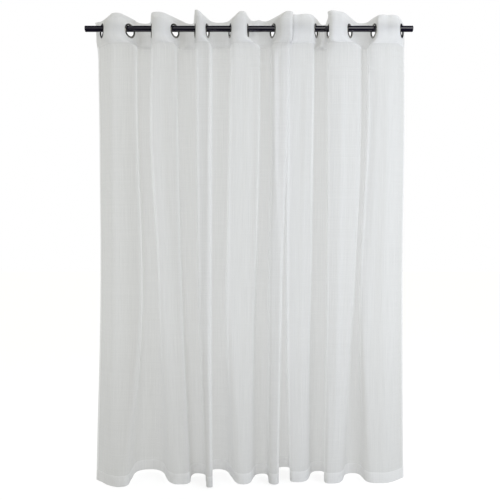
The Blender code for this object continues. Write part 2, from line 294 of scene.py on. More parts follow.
class CurtainRod(bpy.types.PropertyGroup):
    """Sizes and colour of the rod."""

    radius: bpy.props.FloatProperty(
        name="Radius",
        description="Outer radius of the rod",
        default=(ROD_BOX[1][2] - ROD_BOX[0][2]) / 2,
        unit="LENGTH",
    )
    length: bpy.props.FloatProperty(
        name="Length", description="Length of the rod", default=ROD_BOX[1][0] - ROD_BOX[0][0], unit="LENGTH"
    )
    edge: bpy.props.FloatProperty(
        name="Edge", description="Rounding of the cut ends", default=0.0008, unit="LENGTH"
    )
    colour: bpy.props.FloatVectorProperty(
        name="Colour", description="Colour of the paint", default=(0.004, 0.003, 0.009), subtype="COLOR"
    )


class CurtainStage(bpy.types.PropertyGroup):
    """Camera and light."""

    camera_x: bpy.props.FloatProperty(
        name="Camera X", description="Camera's place along the rod", default=0.005, unit="LENGTH"
    )
    camera_distance: bpy.props.FloatProperty(
        name="Camera distance", description="Camera in front of the rod", default=2.40, unit="LENGTH"
    )
    camera_height: bpy.props.FloatProperty(
        name="Camera height", description="Camera above the hem", default=1.176, unit="LENGTH"
    )
    lens: bpy.props.FloatProperty(name="Lens", description="Focal length in mm", default=36.36)
    floor_gap: bpy.props.FloatProperty(
        name="Floor gap", description="From the hem down to the floor", default=0.010, unit="LENGTH"
    )
    front_power: bpy.props.FloatProperty(
        name="Front light", description="Power of the soft light in front, at the right",
        default=49.0, unit="POWER",
    )
    rear_power: bpy.props.FloatProperty(
        name="Rear light", description="Power of the soft light behind, at the right",
        default=19.0, unit="POWER",
    )
    ambient: bpy.props.FloatProperty(
        name="Ambient", description="Strength of the room's even light", default=0.90
    )
    back_light: bpy.props.FloatProperty(
        name="Back light", description="How much more of the even light comes from behind", default=0.20,
        subtype="FACTOR",
    )
    window_light: bpy.props.FloatProperty(
        name="Window light", description="Strength of the long window that polish reflects", default=5.0
    )
    backing: bpy.props.FloatVectorProperty(
        name="Backing", description="Colour seen through the voile",
        default=(0.410, 0.412, 0.392), subtype="COLOR",
    )
    # Painted shade on the floor: the share of the backing's colour that the floor keeps right at the cloth
    floor_painted_shade: bpy.props.FloatProperty(
        name="Floor backing", description="Share of the backing's light that the floor behind the hem keeps",
        default=0.74, subtype="FACTOR",
    )


def ease(value):
    """0 below 0, 1 above 1, and a soft step between."""
    share = np.clip(value, 0.0, 1.0)
    return share * share * (3.0 - 2.0 * share)


def fold_side(index):
    """-1 for a fold in front of the rod and +1 for one behind it."""
    return -1.0 if index % 2 == 0 else 1.0


def heading_of(index):
    """The cloth's direction from above where it passes through an eyelet, going from left to right."""
    turn = math.radians(EYELETS[index].turn_deg)
    return np.array([math.cos(turn), fold_side(index) * math.sin(turn)])


def rounded(before, corner, after, reach):
    """A quarter-bend from one leg of a corner to the other, starting and ending at reach from the corner."""
    start = corner + (before - corner) * (reach / max(np.linalg.norm(before - corner), 1e-9))
    end = corner + (after - corner) * (reach / max(np.linalg.norm(after - corner), 1e-9))
    steps = np.linspace(0.0, 1.0, CURVE_STEPS)[:, None]
    return (1 - steps) ** 2 * start + 2 * steps * (1 - steps) * corner + steps**2 * end


def length_of(points):
    """The length of a line through points."""
    return float(np.linalg.norm(np.diff(points, axis=0), axis=1).sum())


def fold_line(start, left, right, end, straight, rounding):
    """The cloth of one fold from above, from one eyelet's line to the next, with its corners rounded."""
    crest = np.linalg.norm(right - left) / 2
    left_reach = max(min(crest, np.linalg.norm(left - start) - straight, rounding[0]), 0.0005)
    right_reach = max(min(crest, np.linalg.norm(end - right) - straight, rounding[1]), 0.0005)
    bends = [rounded(start, left, right, left_reach), rounded(left, right, end, right_reach)]
    return np.vstack([start[None], *bends, end[None]])


def rod_corners(index, depth):
    """A fold's two corners at the height of the rings, when it is depth deep."""
    left_point = np.array([EYELETS[index].x_mm * MM, 0.0])
    right_point = np.array([EYELETS[index + 1].x_mm * MM, 0.0])
    into, out = heading_of(index), heading_of(index + 1)
    return (
        left_point,
        left_point + into * depth / abs(into[1]),
        right_point - out * depth / abs(out[1]),
        right_point,
    )


def rod_depth(index):
    """How deep a fold is at the rings, where the cloth between two eyelets is one pitch wide."""
    shallow, deep = 0.030, 0.110
    for _ in range(30):
        depth = (shallow + deep) / 2
        if length_of(fold_line(*rod_corners(index, depth), FLAT_REACH, ROUNDING[:1] * 2)) < EYELET_PITCH:
            shallow = depth
        else:
            deep = depth
    return (shallow + deep) / 2


def shared_slope(above, below):
    """The slope where two spans of a curve meet: none where it turns, so it never swings past a level."""
    total = np.where(np.abs(above + below) > 1e-9, above + below, 1.0)
    return np.where(above * below > 0, 2 * above * below / total, 0.0)


def through_levels(height, values):
    """A smooth curve through values at the heights in LEVELS, level at the first of them."""
    if height >= LEVELS[0]:
        return values[0]
    place = max(i for i in range(len(LEVELS) - 1) if height <= LEVELS[i])
    slopes = [(values[i + 1] - values[i]) / (LEVELS[i + 1] - LEVELS[i]) for i in range(len(LEVELS) - 1)]
    tangents = [0.0 * slopes[0], *[shared_slope(a, b) for a, b in zip(slopes, slopes[1:])], slopes[-1]]
    span = LEVELS[place + 1] - LEVELS[place]
    t = (height - LEVELS[place]) / span
    return (
        (2 * t**3 - 3 * t**2 + 1) * values[place]
        + (t**3 - 2 * t**2 + t) * span * tangents[place]
        + (3 * t**2 - 2 * t**3) * values[place + 1]
        + (t**3 - t**2) * span * tangents[place + 1]
    )


def seen_point(seen_mm, depth):
    """A point of the cloth from its place as seen and its depth."""
    return np.array([seen_mm * MM * (1 + depth / VIEWED_FROM), depth])


def edge_levels(edge, at_rod):
    """A side edge's points at the heights in LEVELS."""
    lower = [seen_point(getattr(edge, name), getattr(edge, f"{name}_depth") * MM) for name in LEVEL_NAMES]
    return [at_rod, *lower]


def corner_levels(edge_strip):
    """Every corner of the cloth's line from above, left to right, as its points at the heights in LEVELS."""
    first = np.array([EYELETS[0].x_mm * MM, 0.0])
    last = np.array([EYELETS[-1].x_mm * MM, 0.0])
    corners = [edge_levels(LEFT_EDGE, first - heading_of(0) * edge_strip)]
    for index, fold in enumerate(FOLDS):
        depth = rod_depth(index)
        _, left, right, _ = rod_corners(index, depth)
        at_rod, at_hem = fold_side(index) * depth, fold.hem_depth * MM
        depths = [*[at_rod + (at_hem - at_rod) * share for share in FULLNESS], at_hem]
        for side, corner in (("left", left), ("right", right)):
            places = [getattr(fold, f"{name}_{side}") for name in LEVEL_NAMES]
            corners.append([corner, *map(seen_point, places, depths)])
    corners.append(edge_levels(RIGHT_EDGE, last + heading_of(len(EYELETS) - 1) * edge_strip))
    return corners


def left_end(edge, crossing, height):
    """The cloth's left end from above: straight through the ring, and then swung out to the left."""
    swing = math.radians(LEFT_SWING_DEG) * ease((height - SWING_END_Z) / (RING_Z - SWING_END_Z))
    reach = edge - crossing
    bend = crossing + reach * (FLAT_REACH / max(np.linalg.norm(reach), FLAT_REACH))
    rest = edge - bend
    turned = (
        rest[0] * math.cos(swing) - rest[1] * math.sin(swing),
        rest[0] * math.sin(swing) + rest[1] * math.cos(swing),
    )
    return np.vstack([bend + np.array(turned), bend, crossing])


def top_corners(at_rings):
    """The same corners at the cloth's top, from those at the rings."""
    points = [at_rings[0]]
    for index, fold in enumerate(FOLDS):
        share = 1.0 if fold_side(index) < 0 else TOP_BACK_SHARE
        depth = at_rings[2 * index + 1][1] * share
        points.append(seen_point(fold.top_left, depth))
        points.append(seen_point(fold.top_right, depth))
    points.append(at_rings[-1])
    return points


class Hanging:
    """The hung cloth: gives the place in the room of any point of the flat cloth."""

    def __init__(self, flat_width, ripple):
        self.flat_width = flat_width
        self.ripple = ripple
        self.edge_strip = (flat_width - EYELET_PITCH * (len(EYELETS) - 1)) / 2
        self.corners = corner_levels(self.edge_strip)
        self.shares = [self.crossing_share(i) for i in range(len(EYELETS))]
        self.known = {}
        under_rings = np.linspace(BELOW_Z, RING_Z - FLAT_REACH, 9)[1:]
        below = np.concatenate([np.linspace(HEM_Z, BELOW_Z, 15), under_rings])
        above = np.linspace(RING_Z + FLAT_REACH, TOP_Z, 4)
        self.solved_at = np.concatenate([below, above])
        self.solved = np.array([self.solve_depth(height) for height in self.solved_at])
        self.solved[len(below) - 1 : len(below) + 1] = 1.0

    def crossing_share(self, index):
        """How far along the cloth between two folds the eyelet's line lies."""
        before = self.corners[2 * index][0]
        after = self.corners[2 * index + 1][0]
        eyelet = np.array([EYELETS[index].x_mm * MM, 0.0])
        return float(np.linalg.norm(eyelet - before) / np.linalg.norm(after - before))

    def sections(self, height, deepened):
        """The cloth's line from above at a height: a strip at each side and a section for each fold."""
        points = [through_levels(height, levels) * (1.0, deepened) for levels in self.corners]
        above = ease((height - RING_Z - FLAT_REACH) / (TOP_Z - RING_Z - FLAT_REACH))
        if above > 0:
            at_rings = [levels[0] for levels in self.corners]
            for k, top in enumerate(top_corners(at_rings)):
                points[k] = points[k] + (top * (1.0, deepened) - points[k]) * above
        below = ease((RING_Z - FLAT_REACH - height) / FLAT_REACH)
        straight = FLAT_REACH * (1.0 - max(0.6 * above, below))
        crossings = [
            points[2 * i] + (points[2 * i + 1] - points[2 * i]) * self.shares[i] for i in range(len(EYELETS))
        ]
        rounding = through_levels(height, ROUNDING)
        lines = [left_end(points[0], crossings[0], height)]
        for i in range(len(FOLDS)):
            left, right = points[2 * i + 1], points[2 * i + 2]
            kept = [rounding * SHARP_CORNERS.get((i, side), 1.0) for side in ("left", "right")]
            lines.append(fold_line(crossings[i], left, right, crossings[i + 1], straight, kept))
        lines.append(np.vstack([crossings[-1], points[-1]]))
        return lines

    def solve_depth(self, height):
        """How much deeper than drawn the folds are, so that they take up the cloth's whole width."""
        shallow, deep = 0.5, 2.0
        for _ in range(20):
            deepened = (shallow + deep) / 2
            if sum(map(length_of, self.sections(height, deepened))) < self.flat_width:
                shallow = deepened
            else:
                deep = deepened
        return deepened

    def line_at(self, height):
        """The cloth's whole line from above, with the flat cloth's own measure along it."""
        key = round(height, 6)
        if key not in self.known:
            sections = self.sections(height, float(np.interp(height, self.solved_at, self.solved)))
            eyelets = [self.edge_strip + EYELET_PITCH * i for i in range(len(EYELETS))]
            starts = [0.0, *eyelets, self.flat_width]
            across, points = [], []
            for start, stop, line in zip(starts, starts[1:], sections):
                along = np.concatenate([[0.0], np.cumsum(np.linalg.norm(np.diff(line, axis=0), axis=1))])
                across.append(start + (stop - start) * along[:-1] / along[-1])
                points.append(line[:-1])
            across.append([self.flat_width])
            points.append(sections[-1][-1:])
            self.known[key] = np.concatenate(across), np.vstack(points)
        return self.known[key]

    def lift(self, across, height):
        """How far the small creases and ripples stand towards the room."""
        inner = (across - self.edge_strip) / EYELET_PITCH
        creased, total = 0.0, 0.0
        for crease in CREASES:
            down = (crease.top - height) / (crease.top - crease.bottom)
            share = crease.share_top + (crease.share_bottom - crease.share_top) * min(max(down, 0.0), 1.0)
            away = (inner - crease.fold - share) * EYELET_PITCH / (crease.width_mm * MM)
            if abs(away) < 3.0:
                fade = ease(down / 0.12) * ease((1.0 - down) / 0.25)
                creased += crease.lift_mm * MM * math.exp(-away * away) * fade
        free = ease((SEAM_Z - height) / 0.12)
        for line in PACKET_LINES:
            away = (height - line.height) / (line.width_mm * MM)
            if abs(away) < 3.0:
                wander = 0.7 + 0.6 * noise.noise(Vector((across * 3.0, line.height * 9.0, 4.0)))
                total -= line.depth_mm * MM * math.exp(-away * away) * wander
        broad = noise.noise(Vector((across * 22.0, height * 1.3, 0.0)))
        fine = noise.noise(Vector((across * 60.0, height * 3.0, 9.0)))
        return creased + free * (total + self.ripple * (1.4 * broad + 0.5 * fine))

    def place(self, acrosses, height, off):
        """Points of the hung cloth at one height, off its middle towards the room."""
        known, line = self.line_at(height)
        step = 0.0015
        samples = []
        for shift in (-step, 0.0, step):
            wanted = np.clip(acrosses + shift, 0.0, self.flat_width)
            samples.append(np.stack([np.interp(wanted, known, line[:, k]) for k in (0, 1)], axis=1))
        run = samples[2] - samples[0]
        run /= np.linalg.norm(run, axis=1)[:, None]
        lift = np.array([self.lift(float(a), height) for a in acrosses]) + off
        flat = samples[1] + np.stack([run[:, 1], -run[:, 0]], axis=1) * lift[:, None]
        held = ease((RING_Z - FLAT_REACH - height) / 0.030) * ease((height - UPPER_Z) / 0.25)
        sag = np.where(flat[:, 1] < 0, FRONT_SAG, BACK_RISE) * np.clip(flat[:, 1] / 0.07, -1.0, 1.0) * held
        return np.column_stack([flat, height + sag])


# What the operators share: the hung cloth, pieces and materials
_kept = {}


def cloth_of(context):
    """The hung cloth, worked out once for all the pieces that lie on it."""
    if "cloth" not in _kept:
        settings = context.scene.curtain_cloth
        _kept["cloth"] = Hanging(settings.flat_width, settings.ripple)
    return _kept["cloth"]


def add_piece(name, bm, material, smooth_angle=60):
    """A finished piece at the origin, riding on the one body."""
    mesh = bpy.data.meshes.new(name)
    bm.to_mesh(mesh)
    bm.free()
    mesh.materials.append(material)
    mesh.shade_smooth()
    mesh.set_sharp_from_angle(angle=math.radians(smooth_angle))
    piece = bpy.data.objects.new(name, mesh)
    bpy.context.scene.collection.objects.link(piece)
    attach(piece, "root")
    return piece


def flat_grid(columns, rows):
    """Flat cloth with faces between columns and rows, each measured in metres over the cloth."""
    sheet = bmesh.new()
    bmesh.ops.create_grid(sheet, x_segments=len(columns) - 1, y_segments=len(rows) - 1, size=1.0)
    for vertex in sheet.verts:
        i = round((vertex.co.x + 1.0) / 2.0 * (len(columns) - 1))
        j = round((vertex.co.y + 1.0) / 2.0 * (len(rows) - 1))
        vertex.co = (columns[i], rows[j], 0.0)
    return sheet


def add_cloth_map(sheet):
    """A UV map in metres over the flat cloth, for weave and slubs that follow it."""
    layer = sheet.loops.layers.uv.new("cloth")
    for face in sheet.faces:
        for loop in face.loops:
            loop[layer].uv = (loop.vert.co.x, loop.vert.co.y)


def add_doubling(sheet, share_at):
    """An attribute that says how much denser the cloth is where it is hemmed, over the flat cloth."""
    layer = sheet.verts.layers.float.new("doubled")
    for vertex in sheet.verts:
        vertex[layer] = share_at(vertex.co.x, vertex.co.y)


def hang_sheet(sheet, cloth, fold_over):
    """Hang flat cloth on the folds. fold_over gives the height and offset for a row of the flat cloth."""
    rows = defaultdict(list)
    for vertex in sheet.verts:
        rows[round(vertex.co.y, 7)].append(vertex)
    for row, vertices in rows.items():
        height, off = fold_over(row)
        placed = cloth.place(np.array([v.co.x for v in vertices]), height, off)
        for vertex, point in zip(vertices, placed):
            vertex.co = point


def turned_edge(row, edge, up, gap):
    """Height and offset of a row of cloth that turns over at an edge, into a second layer behind the first.

    up is +1 where the cloth turns over at its top and -1 where it turns up at its bottom.
    """
    past = (row - edge) * up
    radius = gap / 2
    turn = min(max(past / radius, -1.0), 1.0) * math.pi / 2
    return edge - up * abs(past), -radius * math.sin(turn)


def even_steps(start, stop, step):
    """Evenly spaced values from start up to stop, both in."""
    count = max(1, math.ceil(abs(stop - start) / step - 1e-9))
    return list(np.linspace(start, stop, count + 1))


def panel_rows(settings):
    """Rows of the voile panel, from the turned-up hem's top round its bottom edge to the seam."""
    gap = settings.layer_gap
    rows = even_steps(HEM_Z - settings.hem_height, HEM_Z - gap, 0.012)
    rows += [HEM_Z - gap / 2, HEM_Z - gap / 4, HEM_Z, HEM_Z + gap / 4, HEM_Z + gap / 2]
    rows += even_steps(HEM_Z + gap, HEM_Z + settings.hem_height, 0.012)
    rows += even_steps(HEM_Z + settings.hem_height, SEAM_Z + 0.004, 0.020)[1:]
    rows.append(HEM_Z + settings.hem_height - 0.001)
    for line in PACKET_LINES:
        rows += [line.height + line.width_mm * MM * k for k in (-1.5, -0.75, 0.0, 0.75, 1.5)]
    rows.sort()
    kept = [rows[0]]
    for row in rows[1:]:
        if row - kept[-1] > gap / 8:
            kept.append(row)
    return kept


def even_columns(cloth, side_hem, per_fold, per_edge):
    """Columns of the cloth: each side's hem and the rest of its strip, and even steps over each fold."""
    strip = cloth.edge_strip
    edge = [0.0, side_hem / 2, side_hem, side_hem + 0.001]
    edge += even_steps(side_hem + 0.001, strip, (strip - side_hem) / per_edge)[1:]
    columns = edge[:-1]
    for index in range(len(FOLDS)):
        columns += [strip + (index + k / per_fold) * EYELET_PITCH for k in range(per_fold)]
    return columns + [cloth.flat_width - across for across in reversed(edge)]


class MakePanel(bpy.types.Operator):
    """Make the voile panel with its turned-up hem"""

    bl_idname = "curtain.panel"
    bl_label = "Voile panel"

    def execute(self, context):
        settings = context.scene.curtain_cloth
        cloth = cloth_of(context)
        sheet = flat_grid(even_columns(cloth, settings.side_hem, 26, 6), panel_rows(settings))
        add_cloth_map(sheet)
        gap = settings.layer_gap

        def doubled(across, row):
            beside = min(across, cloth.flat_width - across) < settings.side_hem + 0.0005
            return 1.0 if beside else HEM_DENSITY if row < HEM_Z + settings.hem_height - 0.0005 else 0.0

        add_doubling(sheet, doubled)

        def fold_over(row):
            height, off = turned_edge(row, HEM_Z, -1.0, gap)
            return max(height, HEM_Z), off - gap / 2

        hang_sheet(sheet, cloth, fold_over)
        panel = add_piece("voile_panel", sheet, voile_material(context), 180)
        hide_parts("panel")
        _kept["panel"] = panel
        return {"FINISHED"}


def heading_layer_rows(low_first):
    """Rows of one layer of the heading, with none inside the ring patches."""
    rows = [
        *even_steps(SEAM_Z, RING_Z - FLAT_REACH, 0.008),
        *even_steps(RING_Z + FLAT_REACH, TOP_Z - 0.0012, 0.005),
    ]
    return rows if low_first else [2 * TOP_Z - row for row in reversed(rows)]


class MakeHeading(bpy.types.Operator):
    """Make the doubled heading with its sixteen cut holes"""

    bl_idname = "curtain.heading"
    bl_label = "Heading"

    def execute(self, context):
        settings = context.scene.curtain_cloth
        cloth = cloth_of(context)
        gap = settings.layer_gap
        turn = [TOP_Z - gap / 2, TOP_Z - gap / 4, TOP_Z, TOP_Z + gap / 4, TOP_Z + gap / 2]
        rows = heading_layer_rows(True) + turn + heading_layer_rows(False)
        columns = even_steps(0.0, cloth.edge_strip - FLAT_REACH, 0.007)
        for index in range(len(EYELETS)):
            eyelet = cloth.edge_strip + index * EYELET_PITCH
            end = cloth.flat_width if index == len(FOLDS) else eyelet + EYELET_PITCH - FLAT_REACH
            columns += [eyelet, *even_steps(eyelet + FLAT_REACH, end, 0.0055)]
        sheet = flat_grid(columns, rows)
        for index in range(len(EYELETS)):
            across = cloth.edge_strip + index * EYELET_PITCH
            for middle in (RING_Z, 2 * TOP_Z - RING_Z):
                cut_hole(sheet, across, middle, context.scene.curtain_rings.cloth_hole)
        add_cloth_map(sheet)
        add_doubling(sheet, lambda across, row: HEADING_DENSITY)

        def fold_over(row):
            height, off = turned_edge(row, TOP_Z, 1.0, gap)
            return min(height, TOP_Z), off

        hang_sheet(sheet, cloth, fold_over)
        heading = add_piece("voile_heading", sheet, voile_material(context), 180)
        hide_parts("heading")
        _kept["heading"] = heading
        return {"FINISHED"}


def cut_hole(sheet, across, middle, radius):
    """Replace the square patch of flat cloth round an eyelet by one with a round hole."""
    patch = [
        face
        for face in sheet.faces
        if abs(face.calc_center_median().x - across) < FLAT_REACH
        and abs(face.calc_center_median().y - middle) < FLAT_REACH
    ]
    patch_edges = {edge for face in patch for edge in face.edges}
    rim_edges = {edge for edge in patch_edges if sum(face in patch for face in edge.link_faces) == 1}
    bmesh.ops.delete(sheet, geom=patch, context="FACES_ONLY")
    loose = [edge for edge in sheet.edges if edge.is_wire and edge not in rim_edges]
    bmesh.ops.delete(sheet, geom=loose, context="EDGES")
    circle = bmesh.ops.create_circle(
        sheet, segments=48, radius=radius, matrix=Matrix.Translation((across, middle, 0.0))
    )
    hole_edges = {edge for vertex in circle["verts"] for edge in vertex.link_edges}
    kept_edges = [edge for edge in rim_edges if edge.is_valid]
    bmesh.ops.triangle_fill(sheet, edges=[*kept_edges, *hole_edges], use_beauty=True)
    for face in sheet.faces:
        if len(face.verts) == 3:
            face.normal_update()
            if face.normal.z < 0:
                face.normal_flip()


class MakeRings(bpy.types.Operator):
    """Make the sixteen eyelet rings"""

    bl_idname = "curtain.rings"
    bl_label = "Eyelet rings"

    def execute(self, context):
        settings = context.scene.curtain_rings
        material = nickel_material(context)
        for index, eyelet in enumerate(EYELETS):
            ring = turned_ring(settings)
            turn = Matrix.Rotation(fold_side(index) * math.radians(eyelet.turn_deg), 4, "Z")
            upright = Matrix.Rotation(math.pi / 2, 4, "X")
            roll = Matrix.Rotation(math.radians(37.0 * index), 4, "Z")
            place = Matrix.Translation((eyelet.x_mm * MM, 0.0, RING_Z))
            bmesh.ops.transform(ring, matrix=place @ turn @ upright @ roll, verts=ring.verts)
            piece = add_piece(f"ring_{index + 1:02d}", ring, material, 35)
            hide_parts(f"eyelet_{index + 1:02d}")
        return {"FINISHED"}


def ring_profile(settings):
    """Half of a ring's section from the groove round its dome to the bore, as radius and depth."""
    reach, bore, deep = settings.reach, settings.bore, settings.half_depth
    groove = bore + 0.0045
    clamp = 0.0009
    bends = [
        (reach, clamp + 0.0006),
        (reach - 0.0012, deep * 0.62),
        (reach - 0.0040, deep),
        (bore + 0.0014, deep * 0.86),
        (bore, deep * 0.45),
    ]
    points = [(groove, clamp), (reach - 0.0002, clamp), (reach, clamp + 0.0004)]
    for start, stop, steps in zip(bends, bends[1:], (3, 4, 4, 4)):
        points += arc_points(start, stop, steps)
    return points + [(bore, 0.0004), (bore + 0.0004, 0.0)]


def arc_points(start, stop, steps):
    """Points of a soft bend between two points of a section, which bulges outwards."""
    made = []
    for k in range(1, steps + 1):
        t = k / steps
        bulge = math.sin(math.pi * t) * 0.00018
        made.append((start[0] + (stop[0] - start[0]) * t, start[1] + (stop[1] - start[1]) * t + bulge))
    return made


def turned_ring(settings):
    """A ring turned about Z, of two halves that meet at the middle of its bore."""
    half = ring_profile(settings)
    profile = [*half, *[(radius, -depth) for radius, depth in reversed(half[:-1])]]
    ring = bmesh.new()
    points = [ring.verts.new((radius, 0.0, depth)) for radius, depth in profile]
    edges = [ring.edges.new((a, b)) for a, b in zip(points, points[1:] + points[:1])]
    bmesh.ops.spin(
        ring, geom=points + edges, cent=(0, 0, 0), axis=(0, 0, 1), angle=math.tau, steps=64, use_merge=True
    )
    bmesh.ops.remove_doubles(ring, verts=ring.verts, dist=1e-6)
    bmesh.ops.recalc_face_normals(ring, faces=ring.faces)
    return ring


class MakeRod(bpy.types.Operator):
    """Make the plain round rod"""

    bl_idname = "curtain.rod"
    bl_label = "Rod"

    def execute(self, context):
        settings = context.scene.curtain_rod
        bar = bmesh.new()
        turn = Matrix.Rotation(math.pi / 2, 4, "Y")
        bmesh.ops.create_cone(
            bar,
            cap_ends=True,
            segments=96,
            radius1=settings.radius,
            radius2=settings.radius,
            depth=settings.length,
            matrix=turn,
        )
        caps = [face for face in bar.faces if len(face.verts) > 4]
        rims = list({edge for face in caps for edge in face.edges})
        bmesh.ops.bevel(
            bar, geom=rims, offset=settings.edge, segments=3, profile=0.5, affect="EDGES", material=-1
        )
        bmesh.ops.inset_region(
            bar, faces=[f for f in bar.faces if len(f.verts) > 4], thickness=0.0016, depth=0.0
        )
        rod = add_piece("rod_bar", bar, rod_material(context), 40)
        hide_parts("rod")
        return {"FINISHED"}


class MakeStitching(bpy.types.Operator):
    """Make the rows of stitches along the heading's seam, the hem and the side hems"""

    bl_idname = "curtain.stitching"
    bl_label = "Stitching"

    def execute(self, context):
        settings = context.scene.curtain_cloth
        cloth = cloth_of(context)
        gap = settings.layer_gap
        material = thread_material()
        rows = {
            "heading_stitching": [(SEAM_Z + 0.0025, gap / 2), (SEAM_Z + 0.0025, -gap / 2)],
            "hem_stitching": [(HEM_Z + settings.hem_height - 0.0025, 0.0)],
        }
        for name, lines in rows.items():
            run = bmesh.new()
            for height, off in lines:
                level_stitches(run, cloth, height, off)
            piece = add_piece(name, run, material, 60)
            _kept[name] = piece
        run = bmesh.new()
        for across in (settings.side_hem, cloth.flat_width - settings.side_hem):
            upright_stitches(run, cloth, across, HEM_Z + settings.hem_height, SEAM_Z - 0.004)
        piece = add_piece("side_stitching", run, material, 60)
        _kept["side_stitching"] = piece
        return {"FINISHED"}


def stitch_template():
    """One stitch of thread along X, as a small faceted bead."""
    if "stitch" not in _kept:
        bead = bmesh.new()
        bmesh.ops.create_icosphere(bead, subdivisions=1, radius=1.0)
        bmesh.ops.scale(bead, vec=(STITCH_LENGTH / 2, THREAD_RADIUS, THREAD_RADIUS), verts=bead.verts)
        _kept["stitch"] = bpy.data.meshes.new("stitch")
        bead.to_mesh(_kept["stitch"])
        bead.free()
    return _kept["stitch"]


def add_stitch(run, start, stop):
    """A stitch whose ends lie near two points on the cloth."""
    along = Vector(stop) - Vector(start)
    bead = stitch_template().copy()
    middle = (Vector(start) + Vector(stop)) / 2
    bead.transform(Matrix.Translation(middle) @ along.to_track_quat("X", "Z").to_matrix().to_4x4())
    run.from_mesh(bead, face_normals=False, vertex_normals=False)
    bpy.data.meshes.remove(bead)


def level_stitches(run, cloth, height, off):
    """A row of stitches along the cloth at one height."""
    side = 1.0 if off >= 0 else -1.0
    count = int((cloth.flat_width - 0.004) / STITCH_PITCH)
    starts = 0.003 + np.arange(count) * STITCH_PITCH
    proud = off + side * THREAD_RADIUS * 0.6
    first = cloth.place(starts, height, proud)
    last = cloth.place(starts + STITCH_LENGTH, height, proud)
    for start, stop in zip(first, last):
        add_stitch(run, start, stop)


def upright_stitches(run, cloth, across, low, high):
    """A row of stitches down the cloth near a side edge."""
    count = int((high - low) / STITCH_PITCH)
    heights = low + np.arange(count) * STITCH_PITCH
    places = [cloth.place(np.array([across]), float(height), THREAD_RADIUS * 0.6)[0] for height in heights]
    for start, after in zip(places, places[1:]):
        add_stitch(run, start, start + (after - start) * (STITCH_LENGTH / STITCH_PITCH))


def fill(tree, made, inputs):
    """Give a node's inputs values of their own, or link them to other nodes' outputs."""
    for key, value in inputs.items():
        if isinstance(value, bpy.types.NodeSocket):
            tree.links.new(value, made.inputs[key])
        else:
            made.inputs[key].default_value = value


def node(tree, kind, inputs=None, **settings):
    """A shader node with its own settings and inputs."""
    made = tree.nodes.new(kind)
    for key, value in settings.items():
        setattr(made, key, value)
    fill(tree, made, inputs or {})
    return made


def maths(tree, operation, *values, **settings):
    """The result of a sum over sockets and numbers."""
    inputs = dict(enumerate(values))
    return node(tree, "ShaderNodeMath", inputs, operation=operation, **settings).outputs[0]


def ranged(tree, value, spread=(0.0, 1.0), result=(0.0, 1.0), **settings):
    """A value carried over from one range to another."""
    inputs = {
        "Value": value,
        "From Min": spread[0],
        "From Max": spread[1],
        "To Min": result[0],
        "To Max": result[1],
    }
    return node(tree, "ShaderNodeMapRange", inputs, **settings).outputs["Result"]


def mixed(tree, share, first, second):
    """A colour between two others."""
    inputs = {"Factor": share, "A": first, "B": second}
    return node(tree, "ShaderNodeMix", inputs, data_type="RGBA").outputs["Result"]


def scaled(tree, colour, strength):
    """A colour times a strength."""
    inputs = {0: colour, "Scale": strength}
    return node(tree, "ShaderNodeVectorMath", inputs, operation="SCALE").outputs[0]


def new_material(name):
    """A material, its node tree and its Principled shader."""
    made = bpy.data.materials.new(name)
    made.use_nodes = True
    return made, made.node_tree, made.node_tree.nodes["Principled BSDF"]


def new_group(name, inputs, outputs):
    """A node group, its inputs' sockets and its outputs' node. An input without a default is a vector."""
    group = bpy.data.node_groups.new(name, "ShaderNodeTree")
    for label, default in inputs.items():
        kind = "NodeSocketVector" if default is None else "NodeSocketFloat"
        socket = group.interface.new_socket(label, in_out="INPUT", socket_type=kind)
        if default is not None:
            socket.default_value = default
    for label in outputs:
        group.interface.new_socket(label, in_out="OUTPUT", socket_type="NodeSocketFloat")
    return group, group.nodes.new("NodeGroupInput").outputs, group.nodes.new("NodeGroupOutput")


def weave_group():
    """Plain weave of uneven yarn over a map in metres: a shade, a cover and a height that change over it."""
    if "voile_weave" in bpy.data.node_groups:
        return bpy.data.node_groups["voile_weave"]
    inputs = {"Cloth": None, "Threads per metre": 1500.0, "Slub": 0.5}
    group, given, result = new_group("voile_weave", inputs, ("Shade", "Cover", "Height"))
    slubs = []
    for stretch in SLUB_STRETCHES:
        place = node(group, "ShaderNodeVectorMath", {0: given["Cloth"], 1: stretch}, operation="MULTIPLY")
        yarn = {"Vector": place.outputs[0], "Scale": 1.0, "Detail": 2.0}
        slubs.append(node(group, "ShaderNodeTexNoise", yarn).outputs["Fac"])
    both = {"Factor": WEFT_SHARE, "A": slubs[0], "B": slubs[1]}
    slub = node(group, "ShaderNodeMix", both, data_type="FLOAT").outputs["Result"]
    split = node(group, "ShaderNodeSeparateXYZ", {0: given["Cloth"]}).outputs
    threads = []
    for axis in ("X", "Y"):
        count = maths(group, "MULTIPLY", split[axis], given["Threads per metre"])
        threads.append(maths(group, "PINGPONG", count, 1.0))
    crossing = maths(group, "MAXIMUM", *threads)
    shade = ranged(group, slub, SLUB_RANGE)
    slubbed = maths(group, "MULTIPLY", shade, given["Slub"])
    cover = maths(group, "MULTIPLY_ADD", crossing, 0.5, slubbed)
    fill(group, result, {"Shade": shade, "Cover": cover, "Height": cover})
    return group


